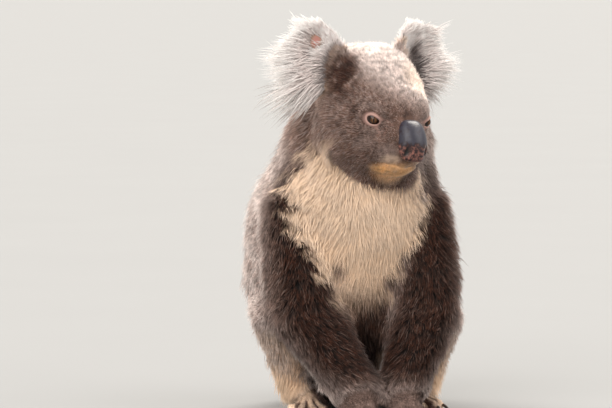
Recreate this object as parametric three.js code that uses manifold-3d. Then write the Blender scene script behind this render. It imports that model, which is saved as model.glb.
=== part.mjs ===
// A life-size sitting koala, in millimetres, +Z up, facing -Y, with the hands, feet and rump flat
// on the floor at Z = 0. The solids reach out to the tips of the coat. The head is turned to the
// animal's left (+X). The origin is the centre of the footprint.
import * as THREE from "three";
import { mergeVertices } from "three/addons/utils/BufferGeometryUtils.js";
import Module from "manifold-3d";

const wasm = await Module();
wasm.setup();

// Driving dimensions.
const GAP = 0.4; // clearance between neighbouring solids
const REACH = 320; // longest ray from the middle of a solid to its surface
const FAR = 2000; // side of the boxes that stand for half spaces

const TRUNK = {
  rump: { at: [2, 60, 80], radii: [79, 82, 88] },
  belly: { at: [0, 30, 158], radii: [121, 104, 106] },
  back: { at: [-4, 34, 222], radii: [112, 82, 84] },
  shoulders: { at: [2, -4, 244], radii: [100, 76, 70] },
  withers: { at: [8, 4, 304], radii: [89, 76, 68] },
  bib: { at: [9, -38, 238], radii: [58, 54, 74] },
  blend: 30,
  neckHeight: 292,
  neckUp: [0, -0.35, 1], // the way up out of the cut between neck and chest
  waistHeight: 152,
  waistUp: [0, -0.25, 1],
};

const HEAD = {
  at: [13, -60, 341],
  yawDeg: 21,
  rollDeg: 3.5,
  cranium: { at: [0, 11, 15], radii: [54, 60, 60] },
  crest: { at: [26, 22, 44], radii: [25, 34, 27] },
  temple: { at: [20, 8, -2], radii: [40, 50, 48] },
  cheek: { at: [31, 5, -29], radii: [36, 44, 38] },
  brow: { at: [18, -40, 6], radii: [22, 22, 20] },
  muzzle: { at: [0, -47, -31], radii: [31, 29, 27] },
  chin: { at: [0, -32, -54], radii: [31, 32, 20] },
  blend: 20,
  mouth: { at: [0, -70, -61], rise: 0.25 },
  jawHinge: 4,
};
const NOSE = { at: [0, -72, -30], radii: [17, 14, 23.5], leanDeg: -20 };
const EYE = { at: [32.4, -43.8, -8], radius: 8.5, pitAt: [41, -53, -11], pitRadii: [9.5, 9.5, 7.5] };
const EAR = {
  at: [80, 24, 49],
  radii: [40, 18, 54],
  outwardDeg: 20,
  leanDeg: -12,
  rootAt: [56, 16, 36],
  rootRadii: [26, 18, 34],
  blend: 18,
};

// Each limb has its joints, from the body outwards, for the right (-X) and the left (+X) side.
const ARM = {
  right: {
    joints: [
      { at: [-76, -14, 230], radius: 41 },
      { at: [-66, -52, 124], radius: 45 },
      { at: [-13, -90, 32], radius: 29 },
    ],
    paw: { at: [-15, -104, 15], heading: 0.1 },
  },
  left: {
    joints: [
      { at: [74, -16, 230], radius: 42 },
      { at: [71, -50, 124], radius: 46 },
      { at: [37, -88, 32], radius: 28 },
    ],
    paw: { at: [37, -102, 15], heading: 0.18 },
  },
};
const LEG = {
  right: {
    joints: [
      { at: [-54, 50, 98], radius: 50 },
      { at: [-84, -12, 112], radius: 39 },
      { at: [-62, 0, 30], radius: 28 },
    ],
    paw: { at: [-54, -12, 15], heading: 0.06 },
  },
  left: {
    joints: [
      { at: [58, 50, 95], radius: 53 },
      { at: [88, -14, 106], radius: 41 },
      { at: [81, 4, 32], radius: 28 },
    ],
    paw: { at: [69, 0, 15], heading: 0 },
  },
};

// A hand and a foot: a palm with digits that fan out. A fan angle is positive to the inner side.
const HAND = {
  palm: [22, 26, 17],
  digits: [
    { fan: 0.56, root: 13, length: 17, radius: 7.5, claw: 13 },
    { fan: 0.28, root: 15, length: 24, radius: 8, claw: 16 },
    { fan: 0, root: 17, length: 27, radius: 8.5, claw: 18 },
    { fan: -0.32, root: 16, length: 26, radius: 8.5, claw: 18 },
    { fan: -0.7, root: 14, length: 21, radius: 8, claw: 16 },
  ],
  height: 9.5,
};
const FOOT = {
  palm: [21, 34, 17],
  digits: [
    { fan: 1.3, root: 15, length: 20, radius: 9.5, claw: 0 },
    { fan: 0.3, root: 25, length: 22, radius: 7.5, claw: 15 },
    { fan: 0.04, root: 26, length: 24, radius: 7.5, claw: 15 },
    { fan: -0.26, root: 26, length: 28, radius: 9, claw: 18 },
    { fan: -0.54, root: 22, length: 22, radius: 8.5, claw: 16 },
  ],
  height: 9.5,
};
const CLAW = { radius: 3, tipShare: 0.12, bendDeg: 62, sides: 5, steps: 2, sunk: 4 };

const COLOURS = {
  greyFur: "#8a7872",
  darkFur: "#4e3d37",
  paleFur: "#e3c6ac",
  legFur: "#a08d83",
  earFur: "#dcd0ca",
  noseSkin: "#45404a",
  eyeGlass: "#3a2415",
  clawHorn: "#2b2421",
};

const vector = (xyz) => new THREE.Vector3(...xyz);
const radians = (degrees) => THREE.MathUtils.degToRad(degrees);
const mirrored = (xyz, side) => [xyz[0] * side, xyz[1], xyz[2]];
const sides = { right: -1, left: 1 };
const UP = new THREE.Vector3(0, 0, 1);

// Approximate signed distance to an ellipsoid, turned about its own centre.
function ellipsoid(at, radii, turn = new THREE.Quaternion()) {
  const centre = vector(at);
  const back = turn.clone().invert();
  return (point) => {
    const p = point.clone().sub(centre).applyQuaternion(back);
    const scaled = Math.hypot(p.x / radii[0], p.y / radii[1], p.z / radii[2]);
    const slope = Math.hypot(p.x / radii[0] ** 2, p.y / radii[1] ** 2, p.z / radii[2] ** 2);
    return slope > 0 ? (scaled * (scaled - 1)) / slope : -Math.min(...radii);
  };
}

// Distance to a rod from a to b whose radius changes along it, with round ends.
function taperedRod(a, b, radiusA, radiusB) {
  const start = vector(a);
  const along = vector(b).sub(start);
  return (point) => {
    const p = point.clone().sub(start);
    const share = THREE.MathUtils.clamp(p.dot(along) / along.lengthSq(), 0, 1);
    return p.addScaledVector(along, -share).length() - THREE.MathUtils.lerp(radiusA, radiusB, share);
  };
}

// The fields run together with a fillet about as wide as `width`.
function blended(fields, width) {
  return (point) =>
    fields
      .map((field) => field(point))
      .reduce((a, b) => {
        const near = Math.max(width - Math.abs(a - b), 0) / width;
        return Math.min(a, b) - (near * near * width) / 4;
      });
}

function solidFrom(geometry) {
  geometry.deleteAttribute("normal");
  geometry.deleteAttribute("uv");
  const merged = mergeVertices(geometry, 1e-4);
  const mesh = { numProp: 3, vertProperties: merged.attributes.position.array };
  return new wasm.Manifold(new wasm.Mesh({ ...mesh, triVerts: new Uint32Array(merged.index.array) }));
}

// A ball of even triangles, for round shapes, and one with its poles on Z, for long ones.
const geodesic = (detail) => new THREE.IcosahedronGeometry(1, detail);
const poled = (around, rings) => new THREE.SphereGeometry(1, around, rings).rotateX(Math.PI / 2);

// Moves the vertices of a ball onto the surface of a field. The stretch spreads them evenly over a
// long or flat shape. The second result is the same skin one gap further out, for cutting.
function wrapped(field, at, ball, stretch = [1, 1, 1], turn = new THREE.Quaternion()) {
  ball.deleteAttribute("normal");
  ball.deleteAttribute("uv");
  const base = mergeVertices(ball, 1e-5);
  const centre = vector(at);
  const atLevel = (level) => {
    const skin = base.clone();
    const position = skin.attributes.position;
    for (let i = 0; i < position.count; i++) {
      const ray = new THREE.Vector3().fromBufferAttribute(position, i);
      ray.multiply(vector(stretch)).normalize().applyQuaternion(turn);
      const out = surfaceAlong(field, centre, ray, level);
      position.setXYZ(i, centre.x + ray.x * out, centre.y + ray.y * out, centre.z + ray.z * out);
    }
    return solidFrom(skin);
  };
  return { solid: atLevel(0), cutter: atLevel(GAP) };
}

function surfaceAlong(field, centre, ray, level) {
  const at = (t) => field(centre.clone().addScaledVector(ray, t)) - level;
  const step = 3;
  let outside = step;
  while (at(outside) < 0 && outside < REACH) outside += step;
  let inside = outside - step;
  for (let i = 0; i < 22; i++) {
    const middle = (inside + outside) / 2;
    if (at(middle) < 0) inside = middle;
    else outside = middle;
  }
  return (inside + outside) / 2;
}

// The half space on the side of `point` that `normal` looks to, as a very large box.
function halfSpace(point, normal) {
  const box = new THREE.BoxGeometry(FAR, FAR, FAR).translate(0, 0, FAR / 2);
  const turn = new THREE.Quaternion().setFromUnitVectors(UP, normal.clone().normalize());
  return solidFrom(box.applyQuaternion(turn).translate(point.x, point.y, point.z));
}

// Parts a solid with one thin flat cut: the piece that `normal` looks to comes first.
function parted(solid, point, normal) {
  const shift = normal.clone().normalize().multiplyScalar(GAP / 2);
  const upper = solid.intersect(halfSpace(point.clone().add(shift), normal));
  const lower = solid.intersect(halfSpace(point.clone().sub(shift), normal.clone().negate()));
  return [upper, lower];
}

const joined = (solids) => solids.reduce((a, b) => a.add(b));
const less = (solid, cutters) => cutters.reduce((a, b) => a.subtract(b), solid);
const largest = (solid) => solid.decompose().sort((a, b) => b.volume() - a.volume())[0];
const floorUp = halfSpace(new THREE.Vector3(0, 0, 0), UP);

// The head is built in its own frame, turned and tipped, and then set in place.
const headTurn = new THREE.Quaternion().setFromEuler(
  new THREE.Euler(0, radians(HEAD.rollDeg), radians(HEAD.yawDeg), "ZYX"),
);
const onHead = (xyz) => vector(xyz).applyQuaternion(headTurn).add(vector(HEAD.at)).toArray();
const headLump = ({ at, radii }, side = 1) => ellipsoid(onHead(mirrored(at, side)), radii, headTurn);

function makeHead() {
  const central = [HEAD.cranium, HEAD.muzzle, HEAD.chin];
  const paired = [HEAD.crest, HEAD.temple, HEAD.cheek, HEAD.brow];
  const field = blended(
    [
      ...central.map((lump) => headLump(lump)),
      ...paired.flatMap((lump) => [headLump(lump, -1), headLump(lump, 1)]),
    ],
    HEAD.blend,
  );
  return wrapped(field, onHead([0, -10, -8]), geodesic(5), [1, 1.05, 1], headTurn);
}

function makeNose() {
  const leftward = new THREE.Vector3(1, 0, 0);
  const lean = new THREE.Quaternion().setFromAxisAngle(leftward, radians(NOSE.leanDeg));
  const turn = headTurn.clone().multiply(lean);
  const field = ellipsoid(onHead(NOSE.at), NOSE.radii, turn);
  return wrapped(field, onHead(NOSE.at), geodesic(2), [1, 0.8, 1.4], turn);
}

function makeEar(side) {
  const lean = radians(EAR.leanDeg) * side;
  const outward = new THREE.Euler(0, lean, radians(EAR.outwardDeg) * side);
  const turn = headTurn.clone().multiply(new THREE.Quaternion().setFromEuler(outward));
  const fan = ellipsoid(onHead(mirrored(EAR.at, side)), EAR.radii, turn);
  const root = ellipsoid(onHead(mirrored(EAR.rootAt, side)), EAR.rootRadii, turn);
  const field = blended([fan, root], EAR.blend);
  return wrapped(field, onHead(mirrored(EAR.at, side)), geodesic(3), [0.8, 0.45, 1], turn);
}

function makeEye(side) {
  const field = ellipsoid(onHead(mirrored(EYE.at, side)), [EYE.radius, EYE.radius, EYE.radius]);
  return wrapped(field, onHead(mirrored(EYE.at, side)), geodesic(1));
}

function makeEyePit(side) {
  const field = ellipsoid(onHead(mirrored(EYE.pitAt, side)), EYE.pitRadii, headTurn);
  return wrapped(field, onHead(mirrored(EYE.pitAt, side)), geodesic(1)).solid;
}

// A rod of flesh between two joints, with the turn that lays the local Z axis along it.
function limbLength(from, to, ball) {
  const along = vector(to.at).sub(vector(from.at));
  const turn = new THREE.Quaternion().setFromUnitVectors(UP, along.clone().normalize());
  const middle = vector(from.at).addScaledVector(along, 0.5).toArray();
  const width = (from.radius + to.radius) / 2;
  const field = taperedRod(from.at, to.at, from.radius, to.radius);
  return wrapped(field, middle, ball, [1, 1, 1 + along.length() / (2 * width)], turn);
}

// A claw: a tapered horn that runs out of the digit and bends down, base at its own origin.
function makeClaw(length, swell = 0) {
  const horn = new THREE.CylinderGeometry(
    CLAW.radius * CLAW.tipShare + swell,
    CLAW.radius + swell,
    length,
    CLAW.sides,
    CLAW.steps,
  );
  horn.translate(0, length / 2, 0);
  const bend = radians(CLAW.bendDeg);
  const position = horn.attributes.position;
  for (let i = 0; i < position.count; i++) {
    const turned = (position.getY(i) / length) * bend;
    const radius = length / bend - position.getZ(i);
    const forward = Math.sin(turned) * radius;
    const down = length / bend - Math.cos(turned) * radius;
    position.setXYZ(i, position.getX(i), -forward, -down);
  }
  return horn;
}

// The palm and digits of a hand or foot, its claws, and cutters for all of it.
function makePaw(plan, place, side) {
  const [halfWidth, halfLength] = plan.palm;
  const heading = new THREE.Quaternion().setFromAxisAngle(UP, place.heading * side);
  const onPaw = (xyz) => vector(xyz).applyQuaternion(heading).add(vector(place.at)).toArray();
  const palm = ellipsoid(place.at, plan.palm, heading);
  const flesh = [wrapped(palm, place.at, geodesic(1), [1, halfLength / halfWidth, 0.8], heading)];
  const claws = [];
  for (const digit of plan.digits) {
    const fan = -digit.fan * side;
    const forward = new THREE.Vector3(Math.sin(fan), -Math.cos(fan), 0);
    const level = plan.height - place.at[2];
    const root = forward.clone().multiplyScalar(digit.root).setZ(level + 2);
    const tip = forward.clone().multiplyScalar(digit.root + digit.length).setZ(level);
    const from = { at: onPaw(root.toArray()), radius: digit.radius * 1.15 };
    const to = { at: onPaw(tip.toArray()), radius: digit.radius };
    flesh.push(limbLength(from, to, poled(6, 3)));
    if (digit.claw > 0) {
      const reach = digit.root + digit.length + digit.radius - CLAW.sunk;
      const base = forward.clone().multiplyScalar(reach).setZ(level + 2);
      const turn = new THREE.Quaternion().setFromAxisAngle(UP, fan).premultiply(heading);
      const set = (horn) => solidFrom(horn.applyQuaternion(turn).translate(...onPaw(base.toArray())));
      const clearance = makeClaw(digit.claw + GAP, GAP);
      claws.push({ solid: set(makeClaw(digit.claw)), cutter: set(clearance) });
    }
  }
  return {
    solid: joined(flesh.map((piece) => piece.solid)),
    cutter: joined(flesh.map((piece) => piece.cutter)),
    claws,
  };
}

// A limb of two lengths and a paw, parted at its two joints.
function makeLimb(joints, paw) {
  const [top, middle, end] = joints;
  const upper = limbLength(top, middle, poled(12, 7));
  const lower = limbLength(middle, end, poled(12, 7));
  const bend = vector(middle.at).sub(vector(top.at)).normalize();
  bend.add(vector(end.at).sub(vector(middle.at)).normalize());
  return {
    solid: joined([upper.solid, lower.solid, paw.solid]),
    cutter: joined([upper.cutter, lower.cutter, paw.cutter]),
    bendAt: vector(middle.at),
    bend,
    endAt: vector(end.at),
    end: vector(end.at).sub(vector(middle.at)),
    claws: paw.claws,
  };
}

const makeArm = (name) => makeLimb(ARM[name].joints, makePaw(HAND, ARM[name].paw, sides[name]));
const makeLeg = (name) => makeLimb(LEG[name].joints, makePaw(FOOT, LEG[name].paw, sides[name]));

function makeTrunk() {
  const lumps = [TRUNK.rump, TRUNK.belly, TRUNK.back, TRUNK.shoulders, TRUNK.withers, TRUNK.bib];
  const field = blended(
    lumps.map(({ at, radii }) => ellipsoid(at, radii)),
    TRUNK.blend,
  );
  return wrapped(field, [0, 25, 175], geodesic(6), [1, 0.95, 1.5]);
}

const koala = new THREE.Group();
koala.name = "koala";

function add(name, solid, colour, roughness = 0.9) {
  const { vertProperties, triVerts } = largest(solid).getMesh();
  const geometry = new THREE.BufferGeometry();
  geometry.setAttribute("position", new THREE.BufferAttribute(vertProperties, 3));
  geometry.setIndex(new THREE.BufferAttribute(triVerts, 1));
  geometry.computeVertexNormals();
  const material = new THREE.MeshStandardMaterial({ color: colour, roughness, metalness: 0 });
  const mesh = new THREE.Mesh(geometry, material);
  mesh.name = name;
  koala.add(mesh);
}

const head = makeHead();
const nose = makeNose();
const ears = { right: makeEar(-1), left: makeEar(1) };
const eyes = { right: makeEye(-1), left: makeEye(1) };
const pits = { right: makeEyePit(-1), left: makeEyePit(1) };
const arms = { right: makeArm("right"), left: makeArm("left") };
const legs = { right: makeLeg("right"), left: makeLeg("left") };
const trunk = makeTrunk();

const body = trunk.solid.intersect(floorUp);
const [neck, belowNeck] = parted(body, vector([0, 0, TRUNK.neckHeight]), vector(TRUNK.neckUp));
const [chest, rump] = parted(belowNeck, vector([0, 0, TRUNK.waistHeight]), vector(TRUNK.waistUp));
add("neck", neck, COLOURS.greyFur);
add("chest", chest, COLOURS.paleFur);
add("rump", rump, COLOURS.greyFur);

const sockets = [nose.cutter, eyes.right.cutter, eyes.left.cutter, pits.right, pits.left];
const face = less(head.solid, [trunk.cutter, ...sockets]);
const mouthAt = vector(onHead(HEAD.mouth.at));
const mouthUp = new THREE.Vector3(0, -HEAD.mouth.rise, 1).applyQuaternion(headTurn);
const facing = new THREE.Vector3(0, -1, 0).applyQuaternion(headTurn);
const hinge = vector(onHead([0, HEAD.jawHinge, 0]));
const jawRoom = (slack) =>
  halfSpace(mouthAt.clone().addScaledVector(mouthUp, slack), mouthUp.clone().negate()).intersect(
    halfSpace(hinge.clone().addScaledVector(facing, -slack), facing),
  );
add("head", face.subtract(jawRoom(GAP)), COLOURS.greyFur);
add("jaw", face.intersect(jawRoom(0)), COLOURS.paleFur);
add("nose", nose.solid, COLOURS.noseSkin, 0.45);

for (const [name, ear] of Object.entries(ears)) {
  add(`ear_${name}`, less(ear.solid, [head.cutter, trunk.cutter]), COLOURS.earFur);
  add(`eye_${name}`, eyes[name].solid, COLOURS.eyeGlass, 0.08);
}

function addLimb(name, limb, others, names, colour) {
  const clawCutters = limb.claws.map((claw) => claw.cutter);
  const free = less(limb.solid, [...others, ...clawCutters]).intersect(floorUp);
  const [lowerEnd, upper] = parted(free, limb.bendAt, limb.bend);
  const [paw, lower] = parted(lowerEnd, limb.endAt, limb.end);
  add(`${names[0]}_${name}`, upper, colour);
  add(`${names[1]}_${name}`, lower, colour);
  add(`${names[2]}_${name}`, paw, colour);
  limb.claws.forEach((claw, i) => {
    add(`${names[2]}_claw_${name}_${i + 1}`, claw.solid.intersect(floorUp), COLOURS.clawHorn, 0.4);
  });
}

const armNames = ["upper_arm", "forearm", "hand"];
const legNames = ["thigh", "shin", "foot"];
addLimb("right", arms.right, [trunk.cutter], armNames, COLOURS.darkFur);
addLimb("left", arms.left, [trunk.cutter, arms.right.cutter], armNames, COLOURS.darkFur);
addLimb("right", legs.right, [trunk.cutter, arms.right.cutter], legNames, COLOURS.legFur);
addLimb("left", legs.left, [trunk.cutter, arms.left.cutter], legNames, COLOURS.legFur);

// The origin goes to the middle of the footprint of the whole animal.
const extent = new THREE.Box3().setFromObject(koala);
const middle = extent.getCenter(new THREE.Vector3());
koala.position.set(-middle.x, -middle.y, 0);

export default koala;
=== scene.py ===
import math
from functools import partial

import bmesh
import bpy
import numpy as np
from mathutils import Matrix, Vector
from mathutils.kdtree import KDTree


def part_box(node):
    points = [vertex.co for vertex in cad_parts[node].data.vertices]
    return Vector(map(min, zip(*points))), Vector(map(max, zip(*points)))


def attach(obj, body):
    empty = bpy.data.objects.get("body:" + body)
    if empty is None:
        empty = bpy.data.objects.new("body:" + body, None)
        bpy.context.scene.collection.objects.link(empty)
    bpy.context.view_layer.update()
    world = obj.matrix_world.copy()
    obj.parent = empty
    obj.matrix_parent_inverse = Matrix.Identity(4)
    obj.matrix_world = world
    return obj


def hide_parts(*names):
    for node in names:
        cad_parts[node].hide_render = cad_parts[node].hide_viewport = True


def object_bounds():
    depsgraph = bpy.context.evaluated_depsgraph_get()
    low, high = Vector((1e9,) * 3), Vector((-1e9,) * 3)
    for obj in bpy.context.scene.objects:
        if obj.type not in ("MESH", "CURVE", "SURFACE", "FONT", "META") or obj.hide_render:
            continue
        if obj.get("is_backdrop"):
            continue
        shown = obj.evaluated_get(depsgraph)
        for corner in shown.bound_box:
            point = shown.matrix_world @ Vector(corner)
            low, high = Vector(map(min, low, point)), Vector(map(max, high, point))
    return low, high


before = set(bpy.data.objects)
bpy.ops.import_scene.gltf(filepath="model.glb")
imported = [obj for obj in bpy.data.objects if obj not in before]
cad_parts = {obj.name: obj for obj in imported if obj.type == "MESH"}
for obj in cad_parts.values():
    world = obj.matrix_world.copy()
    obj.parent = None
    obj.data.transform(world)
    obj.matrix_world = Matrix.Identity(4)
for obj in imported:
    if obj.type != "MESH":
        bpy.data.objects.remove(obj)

# A life-size koala sitting upright with its arms down: one skin over the whole body, eyes, nose and
# claws as pieces of their own, and a coat of thin locks that follow the lie of the fur. Metres.
mm = 0.001
scene = bpy.context.scene
cadLow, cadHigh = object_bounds()
sides = {"left": 1, "right": -1}


def log(*words):
    print("koala:", *words, flush=True)


def rise(low, high, value):
    # 0 up to low, 1 from high on and an even curve between them, also where high is the lower one
    share = np.clip((value - low) / (high - low), 0, 1)
    return share * share * (3 - 2 * share)


def lengthOf(vectors):
    return np.linalg.norm(vectors, axis=-1)


def unit(vectors):
    return vectors / np.maximum(lengthOf(vectors)[..., None], 1e-9)


def dot(a, b):
    return np.sum(a * b, axis=-1, keepdims=True)


def folded(places):
    # the places with those on the right side laid onto the left
    return np.column_stack([np.abs(places[:, 0]), places[:, 1:]])


swells = {"count": 7, "pace": (0.6, 1.5), "calm": 2.6}


def waver(places, size, seed):
    # smooth unevenness from about -1 to 1, with swells about size mm across
    dice = np.random.default_rng(seed)
    total = np.zeros(len(places))
    for _ in range(swells["count"]):
        way = unit(dice.normal(size=3)) * math.pi / (size * mm) * dice.uniform(*swells["pace"])
        total += np.sin(places @ way + dice.uniform(0, 2 * math.pi))
    return total / swells["calm"]


def readAll(items, what, width, kind=float):
    found = np.empty(len(items) * width, dtype=kind)
    items.foreach_get(what, found)
    return found.reshape(-1, width)


def writeAll(items, what, values, kind=np.float32):
    items.foreach_set(what, np.ascontiguousarray(values, dtype=kind).ravel())


def pointsOf(mesh, what="co"):
    return readAll(mesh.vertices, what, 3)


def setPoints(mesh, places):
    writeAll(mesh.vertices, "co", places)
    mesh.update()


def relaxed(mesh, values, strength, rounds):
    # each point moves towards the middle of its neighbours, by its own strength
    edges = readAll(mesh.edges, "vertices", 2, np.int32)
    first, second = edges.T
    size = len(values)
    count = np.maximum(np.bincount(edges.ravel(), minlength=size), 1)[:, None]
    for _ in range(rounds):
        around = [
            np.bincount(first, column[second], size) + np.bincount(second, column[first], size)
            for column in values.T
        ]
        values = values + np.reshape(strength, (-1, 1)) * (np.stack(around, axis=1) / count - values)
    return values


attributeKinds = {"marks": ("FLOAT_COLOR", "color"), "gaze": ("FLOAT_VECTOR", "vector")}


def setAttribute(mesh, name, values):
    kind, field = attributeKinds.get(name, ("FLOAT", "value"))
    writeAll(mesh.attributes.new(name, kind, "POINT").data, field, values)


def addObject(name, data):
    made = bpy.data.objects.new(name, data)
    scene.collection.objects.link(made)
    return made


def newPiece(name, mesh, material, slot, *replaced):
    piece = addObject(name, mesh)
    mesh.shade_smooth()
    mesh.materials.append(material)
    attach(piece, "root")
    if replaced:
        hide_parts(*replaced)
    return piece


def meshFrom(shape, name):
    mesh = bpy.data.meshes.new(name)
    shape.to_mesh(mesh)
    shape.free()
    return mesh


def shapeOf(mesh):
    shape = bmesh.new()
    shape.from_mesh(mesh)
    return shape


def nodeCopy(name):
    # the CAD node's shape with its loose triangles merged
    shape = shapeOf(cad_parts[name].data)
    bmesh.ops.remove_doubles(shape, verts=shape.verts, dist=0.01 * mm)
    return shape


def nodePoints(name):
    shape = nodeCopy(name)
    places = np.array([vert.co for vert in shape.verts])
    shape.free()
    return places


def longWay(places, middle):
    # the way in which a cloud of places is longest
    return np.linalg.svd(places - middle, full_matrices=False)[2][0]


def middleOf(name):
    low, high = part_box(name)
    return np.array((low + high) / 2)


def wayTo(azimuth, elevation):
    # degrees round from the front to the animal's left, and degrees up
    turn, tilt = math.radians(azimuth), math.radians(elevation)
    return Vector((math.sin(turn) * math.cos(tilt), -math.cos(turn) * math.cos(tilt), math.sin(tilt)))


def placeFacing(name, data, place, back):
    made = addObject(name, data)
    made.location = place
    made.rotation_euler = (-back).to_track_quat("-Z", "Y").to_euler()
    return made


# Degrees, the distance in metres, and the rest in mm: the aim lies aside of the middle and up.
camera = {
    "azimuth": -12, "elevation": 4.3, "distance": 3.188,
    "lens": 168.07, "film": 36, "aside": -57.1, "up": 235.2,
}


def makeCamera():
    back = wayTo(camera["azimuth"], camera["elevation"])
    right = wayTo(camera["azimuth"] + 90, 0)
    middle = (cadLow + cadHigh) / 2
    aim = Vector((middle.x, middle.y, camera["up"] * mm)) + right * camera["aside"] * mm
    data = bpy.data.cameras.new("portraitCamera")
    data.lens = camera["lens"]
    data.sensor_width = camera["film"]
    scene.camera = placeFacing("portraitCamera", data, aim + back * camera["distance"], back)


makeCamera()
log("camera")

# The head's own axes are x to its left, y to its back and z up, in mm from its middle.
head = {"eyesAt": (0, -43.8, -8)}
eyeMiddles = {side: middleOf("eye_" + side) for side in sides}
headX = unit(eyeMiddles["left"] - eyeMiddles["right"])
headY = unit(np.cross((0, 0, 1), headX))
headAxes = np.stack([headX, headY, np.cross(headX, headY)])
headMiddle = (eyeMiddles["left"] + eyeMiddles["right"]) / 2 - np.array(head["eyesAt"]) * mm @ headAxes


def inHead(places):
    return (places - headMiddle) @ headAxes.T / mm


def fromHead(place):
    return headMiddle + np.array(place) * mm @ headAxes


# How the coat differs over the body. depth: from the skin up to the coat's surface, and width: of one
# lock, both in mm. dense: how close the locks stand beside the rest of their piece. lift: how far a
# lock stands up at its root, in degrees. clump: how much the tips draw together. ticked: the share of
# locks with pale frosted tips. silver: how silvery the fur is. claim: how far an area reaches over its
# neighbours.
areaColumns = ("depth", "width", "dense", "lift", "clump", "ticked", "silver", "claim")
areas = {
    "head": (5.4, 0.8, 1, 56, 0.18, 0.3, 0, 1.3),
    "jaw": (4.6, 0.85, 1, 52, 0.22, 0.22, 0, 1.15),
    "neck": (9.5, 1, 1.1, 46, 0.22, 0.16, -0.55, 1),
    "chest": (11, 0.8, 1, 20, 0.03, 0.16, 0.45, 1),
    "rump": (11, 1.15, 1, 44, 0.3, 0.16, 0.45, 1),
    "upper_arm": (9, 1.05, 1, 54, 0.45, 0.14, 0.25, 1),
    "forearm": (8, 1, 1.1, 56, 0.45, 0.18, 0.25, 1),
    "hand": (3, 1, 4.2, 36, 0.15, 0.04, 0.25, 1),
    "thigh": (9.5, 1.05, 1, 46, 0.3, 0.16, 0.85, 1),
    "shin": (6.5, 1, 1.1, 42, 0.3, 0.16, 0.7, 1),
    "foot": (2.4, 1.1, 3, 36, 0.15, 0.1, 0, 1),
    "ear": (4, 0.8, 1, 38, 0.2, 0.1, 0, 1),
}
pairedAreas = ("upper_arm", "forearm", "hand", "thigh", "shin", "foot", "ear")


def areaSetting(area, column):
    return areas[area][areaColumns.index(column)]


def makeGuides():
    # A guide is a line through the middle of a CAD node, with the node's mean thickness.
    names = [(area, area) for area in areas if area not in pairedAreas]
    names += [(area, f"{area}_{side}") for area in pairedAreas for side in sides]
    guides = []
    for area, name in names:
        places = nodePoints(name)
        middle = (places.min(axis=0) + places.max(axis=0)) / 2
        way = longWay(places, middle)
        if way[2] > 0:
            way = -way
        if area in ("hand", "foot"):
            way = np.array((0.0, -1.0, 0.0))
        along = (places - middle) @ way
        radius = lengthOf(places - middle - along[:, None] * way).mean() * areaSetting(area, "claim")
        reach = max((along.max() - along.min()) / 2 - radius, 0.0)
        guides.append({
            "area": area, "node": name, "radius": radius, "way": way,
            "start": middle - way * reach, "end": middle + way * reach,
        })
    return guides


guides = makeGuides()
guideNames = [guide["node"] for guide in guides]
nearPower = 9  # how sharply one guide's area gives way to the next


def nearness(places):
    # how much each guide counts at each place; each row sums to 1
    shares = []
    for guide in guides:
        line = guide["end"] - guide["start"]
        along = np.clip((places - guide["start"]) @ line / max(line @ line, 1e-12), 0, 1)
        away = lengthOf(places - guide["start"] - along[:, None] * line)
        shares.append((guide["radius"] / np.maximum(away, 1 * mm)) ** nearPower)
    shares = np.stack(shares, axis=1)
    return shares / shares.sum(axis=1, keepdims=True)


def areaShare(shares, *names):
    # how much these areas count together
    return sum(shares[:, i] for i, guide in enumerate(guides) if guide["area"] in names)


def areaValues(shares, column):
    return shares @ np.array([areaSetting(guide["area"], column) for guide in guides], float)


# Where the head gives way to the ears, in its mm: heights, and distances from its middle plane.
earBase = {"top": (74, 82), "side": (62, 70), "aside": (30, 40), "root": (48, 8, 36)}


def earShare(inside, shares):
    # 1 on the ears, down to where they leave the head
    x, z = np.abs(inside[:, 0]), inside[:, 2]
    beside = rise(*earBase["side"], z) * rise(*earBase["aside"], x)
    return np.maximum.reduce([areaShare(shares, "ear"), rise(*earBase["top"], z), beside])


def clawLine(name):
    # a claw's points, their middle, and the way from its thick end to its point
    places = nodePoints(name)
    middle = places.mean(axis=0)
    way = longWay(places, middle)
    along = (places - middle) @ way
    spreads = [np.linalg.norm(np.std(places[part], axis=0)) for part in (along < 0, along >= 0)]
    return places, middle, -way if spreads[0] < spreads[1] else way


clawLines = {name: clawLine(name) for name in sorted(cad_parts) if "_claw_" in name}

# Fingers and toes, in mm: near and far are from the claws, and hair is their locks' length.
digits = {
    "near": 26, "far": 40, "depth": 0.8, "hair": 5.4,
    "groove": 4.5, "grooveWidth": 3.5, "halfWidth": 14, "reach": 60,
}


def onDigits(places):
    # 1 on the fingers and toes, 0 from the palms on
    away = np.min([lengthOf(places - middle) for _, middle, _ in clawLines.values()], axis=0)
    return rise(digits["far"], digits["near"], away / mm)


# How thin the coat is at the nose and at the eyes, and how far from them that begins and ends, in mm.
face = {
    "noseAt": (0, -72, -30), "thin": 1.5, "near": 20, "far": 78,
    "eyeThin": 2.4, "eyeNear": 12, "eyeFar": 40,
}


def toNose(places):
    return lengthOf(inHead(places) - face["noseAt"])


def coatDepth(places, shares):
    # Metres. The coat is thinnest at the nose, round the eyes, and on the fingers and toes.
    depth = areaValues(shares, "depth")
    onHead = areaShare(shares, "head", "jaw")
    short = (1 - rise(face["near"], face["far"], toNose(places))) * onHead
    depth = depth * (1 - short) + face["thin"] * short
    thinner = []
    for middle in eyeMiddles.values():
        toEye = lengthOf(places - middle) / mm
        thinner.append((face["eyeThin"], (1 - rise(face["eyeNear"], face["eyeFar"], toEye)) * onHead))
    thinner.append((digits["depth"], onDigits(places)))
    for thin, short in thinner:
        depth = depth * (1 - short) + np.minimum(depth, thin) * short
    return depth * mm


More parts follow.
